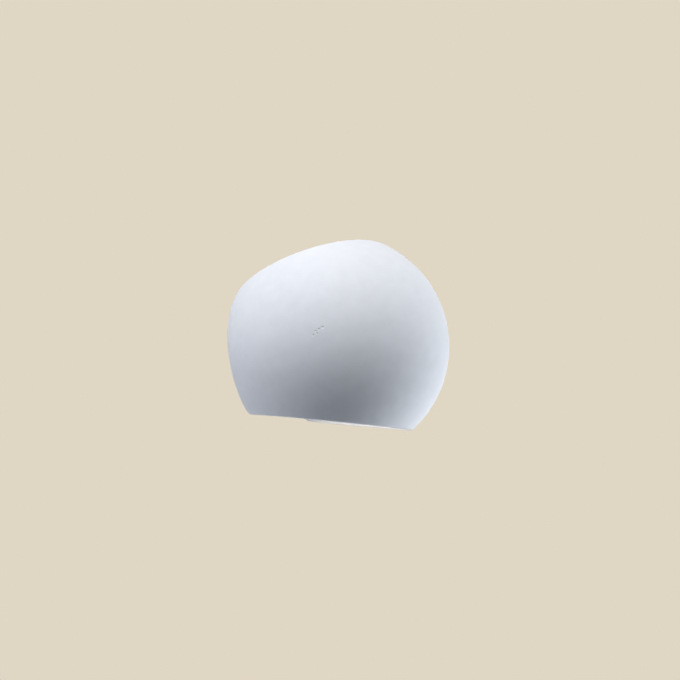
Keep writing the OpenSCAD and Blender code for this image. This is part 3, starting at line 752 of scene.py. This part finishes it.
# %% Outline of a thumbscrew
HEAD_FACE, HEAD_BACK, COLLAR_END, THREAD_END, TIP = 39.4, 45.4, 47.4, 52.5, 56.7
HEAD_RADIUS, COLLAR_RADIUS, THREAD_RADIUS, NECK_RADIUS, TIP_RADIUS = 7.0, 4.5, 2.5, 2.2, 1.9
HEAD_CHAMFER, TIP_CHAMFER = 0.7, 0.6
THUMB_PITCH = 0.8
thumb_outline = rounded_outline(
    [(0, TIP), (TIP_RADIUS - TIP_CHAMFER, TIP), (TIP_RADIUS, TIP - TIP_CHAMFER),
     (TIP_RADIUS, THREAD_END)], 0.3)
thumb_outline += thread(THREAD_RADIUS, THUMB_PITCH, THREAD_END, COLLAR_END)
thumb_outline += rounded_outline(
    [(NECK_RADIUS, COLLAR_END), (COLLAR_RADIUS, COLLAR_END), (COLLAR_RADIUS, HEAD_BACK),
     (HEAD_RADIUS, HEAD_BACK), (HEAD_RADIUS, HEAD_FACE + HEAD_CHAMFER),
     (HEAD_RADIUS - HEAD_CHAMFER, HEAD_FACE), (0, HEAD_FACE)], 0.35)
print("a thumbscrew's outline has", len(thumb_outline), "points")

# %% Turn the thumbscrews
THUMB_DEPTH = 20
KNURL_OUTSET, KNURL_RADIUS = 0.1, 0.5
COIN_SLOT_WIDTH, COIN_SLOT_DEPTH, COIN_SLOT_LENGTH = 1.2, 1.6, 20
JUST_PAST, WELL_PAST = 0.01, 2
THUMB_SIZES = {
    "Segments": 384, "Grooves": 24, "Groove Circle": (HEAD_RADIUS + KNURL_OUTSET) * MM,
    "Groove Radius": KNURL_RADIUS * MM, "Groove From": HEAD_FACE * MM,
    "Groove To": (HEAD_BACK + JUST_PAST) * MM, "Slots": 1,
    "Slot Width": COIN_SLOT_WIDTH * MM, "Slot Length": COIN_SLOT_LENGTH * MM,
    "Slot Floor": (HEAD_FACE - WELL_PAST) * MM,
    "Slot Reach": (HEAD_FACE + COIN_SLOT_DEPTH) * MM, "Tilt X": 0.0,
    "Place Y": -THUMB_DEPTH * MM,
}
for side, node in ((1, "thumbscrew_right"), (-1, "thumbscrew_left")):
    turned(node, thumb_outline, {**THUMB_SIZES, "Tilt Y": side * math.pi / 2})


# %% [markdown]
# ## Small screws, nuts and washer
#
# These are ordinary pan-head screws with a cross, slotted clamp screws in the
# terminal block, two hexagon nuts and a toothed washer. They differ in numbers only,
# so each is one call of the lathe, with an outline and the places of its copies.

# %% A pan head and its cross
PAN_DOME = ((0, 1), (0.4, 0.98), (0.7, 0.85), (0.9, 0.58), (1, 0.25), (1, 0))
PAN_ROUND = 0.25
HEAD_GAP, POINT_LENGTH, POINT_SHARE = 0.2, 0.3, 0.7
CROSS_WIDTH, CROSS_LENGTH, CROSS_FLOOR = 0.27, 1.2, 0.4


def pan_outline(shank, head, thick, tip, seat, pitch=0.5):
    """A domed screw: its head stands on seat, its point is at tip."""
    head_outline = [(across * head, seat + up * thick) for across, up in PAN_DOME]
    return (rounded_outline(head_outline + [(shank, seat)], PAN_ROUND * head)
            + thread(shank, pitch, seat - HEAD_GAP, tip + POINT_LENGTH)
            + [(POINT_SHARE * shank, tip), (0, tip)])


def cross(head, thick, seat, turn_deg=30):
    """The cross in a pan head."""
    return {"Slots": 2, "Slot Width": CROSS_WIDTH * head * MM,
            "Slot Length": CROSS_LENGTH * head * MM,
            "Slot Floor": (seat + CROSS_FLOOR * thick) * MM,
            "Slot Reach": (seat + 2 * thick) * MM, "Slot Turn": math.radians(turn_deg)}


print("a pan head's dome has", len(PAN_DOME), "points")

# %% Turn the small pan-head screws
SMALL_SHANK, SMALL_HEAD, SMALL_THICK = 1.45, 2.6, 2.0
BRIDGE_PITCH, HOLDER_PITCH, BLOCK_PITCH = 24.5 * MM, 22 * MM, 8 * MM
BLOCK_PLACE = {"Pitch X": BLOCK_PITCH, "Place X": -22 * MM, "Place Z": -27 * MM}
small_screws = {
    "bridge_screws": (0.2, 2.7, {"Count Y": 2, "Pitch Y": BRIDGE_PITCH}),
    "lampholder_screws": (6.6, 22.7, {"Count X": 2, "Pitch X": HOLDER_PITCH}),
    "block_screws": (0.2, 9.1, {"Count X": 2, **BLOCK_PLACE}),
}
for node, (tip, seat, places) in small_screws.items():
    turned(node, pan_outline(SMALL_SHANK, SMALL_HEAD, SMALL_THICK, tip, seat),
           {**cross(SMALL_HEAD, SMALL_THICK, seat), **places})

# %% Turn the earth screw
EARTH_PLACE = {"Place X": 28 * MM, "Place Z": -26 * MM}
EARTH_SHANK, EARTH_HEAD, EARTH_THICK, EARTH_TIP, EARTH_SEAT = 1.95, 3.58, 2.4, 0.2, 2.9
turned("earth_screw",
       pan_outline(EARTH_SHANK, EARTH_HEAD, EARTH_THICK, EARTH_TIP, EARTH_SEAT, pitch=0.7),
       {**cross(EARTH_HEAD, EARTH_THICK, EARTH_SEAT, turn_deg=12), **EARTH_PLACE})

# %% Turn the clamp screws
CLAMP_SCREW_TURN = math.radians(24)
clamp_outline = rounded_outline([(0, 12.1), (1.65, 12.1), (1.65, 10.9), (1.2, 10.9)], 0.2)
clamp_outline += thread(1.2, 0.45, 10.7, 7.9) + [(0.8, 7.6), (0, 7.6)]
turned("terminal_screws", clamp_outline,
       {"Slots": 1, "Slot Width": 0.6 * MM, "Slot Length": 6 * MM, "Slot Floor": 11.4 * MM,
        "Slot Reach": 13 * MM, "Slot Turn": CLAMP_SCREW_TURN, "Count X": 3, "Count Y": 2,
        "Pitch Y": 7.2 * MM, **BLOCK_PLACE})

# %% Turn the lampholder's nuts
nut_outline = rounded_outline(
    [(2.6, 9.5), (3.17, 9.2), (3.17, 7.4), (2.6, 7.1), (1.5, 7.1), (1.5, 9.5)], 0.12,
    closed=True)
turned("lampholder_nuts", nut_outline,
       {"Across Flats": 5.5 * MM, "Count X": 2, "Pitch X": HOLDER_PITCH})

# %% Turn the toothed washer
washer_outline = rounded_outline(
    [(3.8, 2.1), (3.8, 1.5), (2.15, 1.5), (2.15, 2.1)], 0.1, closed=True)
turned("earth_washer", washer_outline,
       {"Segments": 120, "Grooves": 10, "Groove Circle": 3.42 * MM, "Groove Radius": 0.38 * MM,
        "Groove From": 1.4 * MM, "Groove To": 2.2 * MM, **EARTH_PLACE})


# %% [markdown]
# ## Bush and lamp
#
# The bush keeps the cable off the plate's edge. The lamp is a capsule: a frosted
# globe with a domed end on a white base. A sphere on a cylinder would leave a seam
# between them, and the lathe turns both in one, so it makes these pieces too.

# %% Turn the bush and the lamp's base
bush_outline = rounded_outline(
    [(8, 3.7), (8, 1.5), (5.95, 1.5), (5.95, 0.2), (4, 0.2), (4, 3.7)], 0.7, closed=True)
turned("cable_bush", bush_outline, {"Place X": 4 * MM, "Place Z": -27 * MM})
base_outline = rounded_outline(
    [(0, 36), (7.45, 36), (7.45, 34.5), (8.2, 34.5), (8.2, 29), (6.7, 27), (0, 27)], 0.5)
turned("lamp_base", base_outline, {"Segments": 96})

# %% Turn the globe
GLOBE_STRAIGHT_END, GLOBE_FOOT, GLOBE_RADIUS, GLOBE_WALL = 61.0, 34.5, 8.5, 0.9
FOOT_CHAMFER = 0.2
DOME_STEPS = 14


def globe_dome(radius):
    """A quarter circle from the axis down to the straight part of the globe."""
    return [(radius * math.sin(k / DOME_STEPS * math.pi / 2),
             GLOBE_STRAIGHT_END + radius * math.cos(k / DOME_STEPS * math.pi / 2))
            for k in range(DOME_STEPS + 1)]


inner_radius = GLOBE_RADIUS - GLOBE_WALL
globe_outline = (globe_dome(GLOBE_RADIUS)
                 + [(GLOBE_RADIUS, GLOBE_FOOT + FOOT_CHAMFER),
                    (GLOBE_RADIUS - FOOT_CHAMFER, GLOBE_FOOT), (inner_radius, GLOBE_FOOT)]
                 + globe_dome(inner_radius)[::-1])
turned("lamp_globe", globe_outline, {"Segments": 96})


# %% [markdown]
# ## Wiring
#
# Each lead is a round wire along a smooth route, a Bezier curve through the air from
# clamp to clamp. A curve object with a round bevel would look the same, but it can't
# say where each point lies round and along the wire. So Geometry Nodes turn the
# route into a curve, sweep a circle along it, and write both down, and the stripe of
# the earth lead follows the wire through its bends.

# %% The lead tree
lead_tree, g, given = geometry_tree("lead", {"Radius": 1.1 * MM, "Sides": 24})
route_curve = g.node("GeometryNodeMeshToCurve", given["Geometry"]).outputs[0]
length = g.node("GeometryNodeSplineParameter").outputs["Length"]
kept_length = g.node("GeometryNodeStoreNamedAttribute", route_curve, data_type="FLOAT",
                     domain="POINT", inputs={"Name": "along", "Value": length}).outputs[0]
ring = g.node("GeometryNodeCurvePrimitiveCircle", given["Sides"],
              inputs={"Radius": given["Radius"]}).outputs[0]
around = g.vector("NORMALIZE", g.node("GeometryNodeInputPosition").outputs[0])
kept_ring = g.node("GeometryNodeStoreNamedAttribute", ring, data_type="FLOAT_VECTOR",
                   domain="POINT", inputs={"Name": "around", "Value": around}).outputs[0]
tube = g.node("GeometryNodeCurveToMesh", kept_length, kept_ring, inputs={
    "Fill Caps": True}).outputs[0]
finish_tree(g, tube, given)

# %% Routes of the leads
LEAD_STEPS = 72


def on_bezier(points, t):
    """The point at t on the Bezier curve of some control points."""
    while len(points) > 1:
        points = [a.lerp(b, t) for a, b in zip(points, points[1:])]
    return points[0]


def lead(node, controls):
    """Sweeps a lead along control points in millimetres, given as (x, depth, z)."""
    controls = [Vector((x, -depth, z)) * MM for x, depth, z in controls]
    points = [on_bezier(controls, k / LEAD_STEPS) for k in range(LEAD_STEPS + 1)]
    start = bpy.data.meshes.new(node)
    start.from_pydata(points, [(k, k + 1) for k in range(LEAD_STEPS)], [])
    dress(grow(node + "_swept", lead_tree, looks[slot_of[node]], start), node)
    total = sum((b - a).length for a, b in zip(points, points[1:]))
    print(node, "is", round(total / MM, 1), "mm long")


print("a lead has", LEAD_STEPS, "steps")

# %% Sweep the leads
lead("live_lead", [(-4.5, 14.7, -10), (-4.5, 14.7, -14), (-10.5, 14.7, -14), (-20, 11.5, -10),
                   (-22, 6.5, -12), (-22, 6.5, -16)])
lead("neutral_lead", [(4.5, 18.7, -10), (4.5, 18.7, -14), (-5.5, 20.7, -15), (-22, 20.5, -11),
                      (-30, 7.5, -9), (-30, 6.5, -12), (-30, 6.5, -16)])
lead("earth_lead", [(-14, 6.5, -16), (-14, 6.5, -12), (-10, 9.5, -9), (0, 9.5, -10),
                    (22, 7.7, -9.5), (28, 3.7, -12.5), (28, 3.7, -16.5)])


# %% [markdown]
# ## Sheet metal, ceramic and mouldings
#
# Pressed sheet, glazed ceramic and moulded plastic have softened edges that catch
# the light. Their shapes are already right in the construction model, so they aren't
# made anew. A copy of each mesh is merged and its flat faces are joined, and then
# Bevel rounds the edges that are sharper than a limit, each piece by its own width.

# %% Soften a piece
FLAT_WITHIN = math.radians(0.5)
SHARP_FROM = math.radians(34)
BEVEL_SEGMENTS = 2
FLAT_FACES_FIRST = 100


def softened(node, width):
    """Lets a copy of a node, its sharp edges rounded by width millimetres, stand for it."""
    mesh = bpy.data.meshes.new(node + "_softened")
    work = bmesh.new()
    work.from_mesh(nodes[node].data)
    bmesh.ops.remove_doubles(work, verts=work.verts, dist=MERGE_DISTANCE)
    bmesh.ops.dissolve_limit(work, angle_limit=FLAT_WITHIN, verts=work.verts,
                             edges=work.edges)
    work.to_mesh(mesh)
    work.free()
    piece = bpy.data.objects.new(mesh.name, mesh)
    bpy.context.scene.collection.objects.link(piece)
    bevel = piece.modifiers.new("bevel", "BEVEL")
    bevel.width = width * MM
    bevel.segments = BEVEL_SEGMENTS
    bevel.limit_method = "ANGLE"
    bevel.angle_limit = SHARP_FROM
    mesh.shade_smooth()
    weighted = piece.modifiers.new("weighted", "WEIGHTED_NORMAL")
    weighted.weight = FLAT_FACES_FIRST
    bpy.context.view_layer.update()
    ready = piece.evaluated_get(bpy.context.evaluated_depsgraph_get())
    piece.data = bpy.data.meshes.new_from_object(ready)
    piece.modifiers.clear()
    piece.data.materials.clear()
    piece.data.materials.append(looks[slot_of[node]])
    dress(piece, node)
    print(piece.name, "has", len(piece.data.polygons), "faces")


# %% Soften the sheet metal, the ceramic and the mouldings
EDGE_WIDTHS_MM = {
    "wall_bracket": 0.25, "clinch_nuts": 0.2, "lampholder_bridge": 0.2, "lampholder_body": 0.6,
    "lampholder_contacts": 0.08, "lamp_core": 0.1, "terminal_block": 0.35,
    "terminal_tubes": 0.15, "lead_sleeves": 0.25, "lead_ferrules": 0.2, "earth_ring": 0.15,
}
for node, width in EDGE_WIDTHS_MM.items():
    softened(node, width)


# %% [markdown]
# ## Background and floor
#
# The object hangs free, so that it can be looked at from behind too. A pale floor
# lies below it and fades into the background, so no horizon cuts through the
# picture. The background could be a bright world, but that would light the object
# from all sides. So it is a flat pale colour only for the camera, for reflections
# and through glass. For all other rays it is nearly black, and the floor is a dim
# blue-grey, which leaves the lighting to the lamps.

# %% Background
BACKGROUND = (0.745, 0.672, 0.552, 1)
FILL_COLOUR = (0.80, 0.88, 1.0, 1)
FILL_STRENGTH = 0.005


def shown_rays(g):
    """1 for rays that show a surface as it looks, 0 for rays that light others."""
    seen = g.node("ShaderNodeLightPath").outputs
    mirrored = g.high(seen["Is Glossy Ray"], seen["Is Transmission Ray"])
    return g.high(seen["Is Camera Ray"], mirrored)


world = bpy.data.worlds.new("studio")
bpy.context.scene.world = world
world.use_nodes = True
g = Graph(world.node_tree)
backdrop = g.node("ShaderNodeBackground", BACKGROUND, 1.0).outputs[0]
fill = g.node("ShaderNodeBackground", FILL_COLOUR, FILL_STRENGTH).outputs[0]
g.set(world.node_tree.nodes["World Output"].inputs[0],
      g.node("ShaderNodeMixShader", shown_rays(g), fill, backdrop).outputs[0])
print("background", BACKGROUND)

# %% Floor
FLOOR_Z = -0.55
FLOOR_SIZE = 6.0
FADE_FROM, FADE_TO = 0.30, 0.85
FLOOR_PAINT = (0.80, 0.80, 0.80, 1)
DIM_PAINT = (0.295, 0.315, 0.34, 1)
half = FLOOR_SIZE / 2
floor_mesh = bpy.data.meshes.new("floor")
floor_mesh.from_pydata([(-half, -half, FLOOR_Z), (half, -half, FLOOR_Z),
                        (half, half, FLOOR_Z), (-half, half, FLOOR_Z)], [], [(0, 1, 2, 3)])
floor = bpy.data.objects.new("floor", floor_mesh)
bpy.context.scene.collection.objects.link(floor)
floor_paint = bpy.data.materials.new("floor_paint")
floor_paint.use_nodes = True
g = Graph(floor_paint.node_tree)
near = g.vector("LENGTH", g.node("ShaderNodeTexCoord").outputs["Object"])
fade = g.node("ShaderNodeMapRange", near, FADE_FROM, FADE_TO, 0.0, 1.0,
              interpolation_type="SMOOTHSTEP").outputs[0]
bare = g.node("ShaderNodeBsdfDiffuse", FLOOR_PAINT).outputs[0]
dim = g.node("ShaderNodeBsdfDiffuse", DIM_PAINT).outputs[0]
lit = g.node("ShaderNodeEmission", BACKGROUND, 1.0).outputs[0]
faded = g.node("ShaderNodeMixShader", fade, bare, lit).outputs[0]
g.set(floor_paint.node_tree.nodes["Material Output"].inputs[0],
      g.node("ShaderNodeMixShader", shown_rays(g), dim, faded).outputs[0])
floor_mesh.materials.append(floor_paint)
print("floor at z =", FLOOR_Z)


# %% [markdown]
# ## Studio lamps
#
# A matt ball shows nothing but its shading, so the lamps make the picture. Small
# lamps would draw hard shadows, so these are large squares with soft light. The key
# lamps stand high on the left, and a wide lamp and a low one on the right brighten
# the ball's edge. Between them the underside stays dark. Two lamps behind keep the
# back readable from other sides. Two very small warm lamps beside the rims light
# their inner edge.

# %% Soft boxes
def softbox(name, place, aim, size, power, colour):
    """A square area light at place that points at aim."""
    data = bpy.data.lights.new(name, "AREA")
    data.size = size
    data.energy = power
    data.color = colour
    box = bpy.data.objects.new(name, data)
    box.location = place
    box.rotation_euler = (Vector(aim) - Vector(place)).to_track_quat("-Z", "Y").to_euler()
    box.visible_camera = False
    bpy.context.scene.collection.objects.link(box)
    print("lamp", name, power, "W")


def aimed(turn_deg, rise_deg, distance):
    """A point seen from the ball's middle; 0 is the front and 90 the light's right."""
    turn, rise = math.radians(turn_deg), math.radians(rise_deg)
    way = Vector((math.sin(turn) * math.cos(rise), -math.cos(turn) * math.cos(rise),
                  math.sin(rise)))
    return BALL_MIDDLE + way * distance


# %% Place the lamps
# Each row: name, turn and rise in degrees, distance, size, power in watts, colour.
LAMPS = (
    ("key", 300, 55, 1.5, 1.1, 20.3, (1.0, 0.97, 0.94)),
    ("key_side", 310, 45, 1.5, 0.8, 6.5, (0.80, 0.90, 1.0)),
    ("right", 45, -12, 1.5, 1.1, 15.4, (0.92, 0.96, 1.0)),
    ("low_right", 56, -42, 0.78, 0.5, 5.9, (0.94, 0.98, 1.0)),
    ("behind_high", 215, 15, 1.5, 1.1, 7.6, (0.86, 0.90, 1.0)),
    ("behind_low", 195, -20, 1.5, 0.8, 9.4, (0.94, 0.98, 1.0)),
)
for name, turn_deg, rise_deg, distance, size, power, colour in LAMPS:
    softbox(name, aimed(turn_deg, rise_deg, distance), BALL_MIDDLE, size, power, colour)

# %% Warm light on the rims
RIM_LAMP_Y, RIM_LAMP_Z, RIM_AIM_Y = -0.004, 0.078, -0.3
RIM_LAMP_SIZE, RIM_LAMP_POWER = 0.05, 0.07
RIM_LAMP_COLOUR = (1.0, 0.90, 0.76)
for name, side in (("glow_below", -1), ("glow_above", 1)):
    softbox(name, (0, RIM_LAMP_Y, side * RIM_LAMP_Z), (0, RIM_AIM_Y, side * RIM_LAMP_Z),
            RIM_LAMP_SIZE, RIM_LAMP_POWER, RIM_LAMP_COLOUR)


# %% End
print("end of the script")
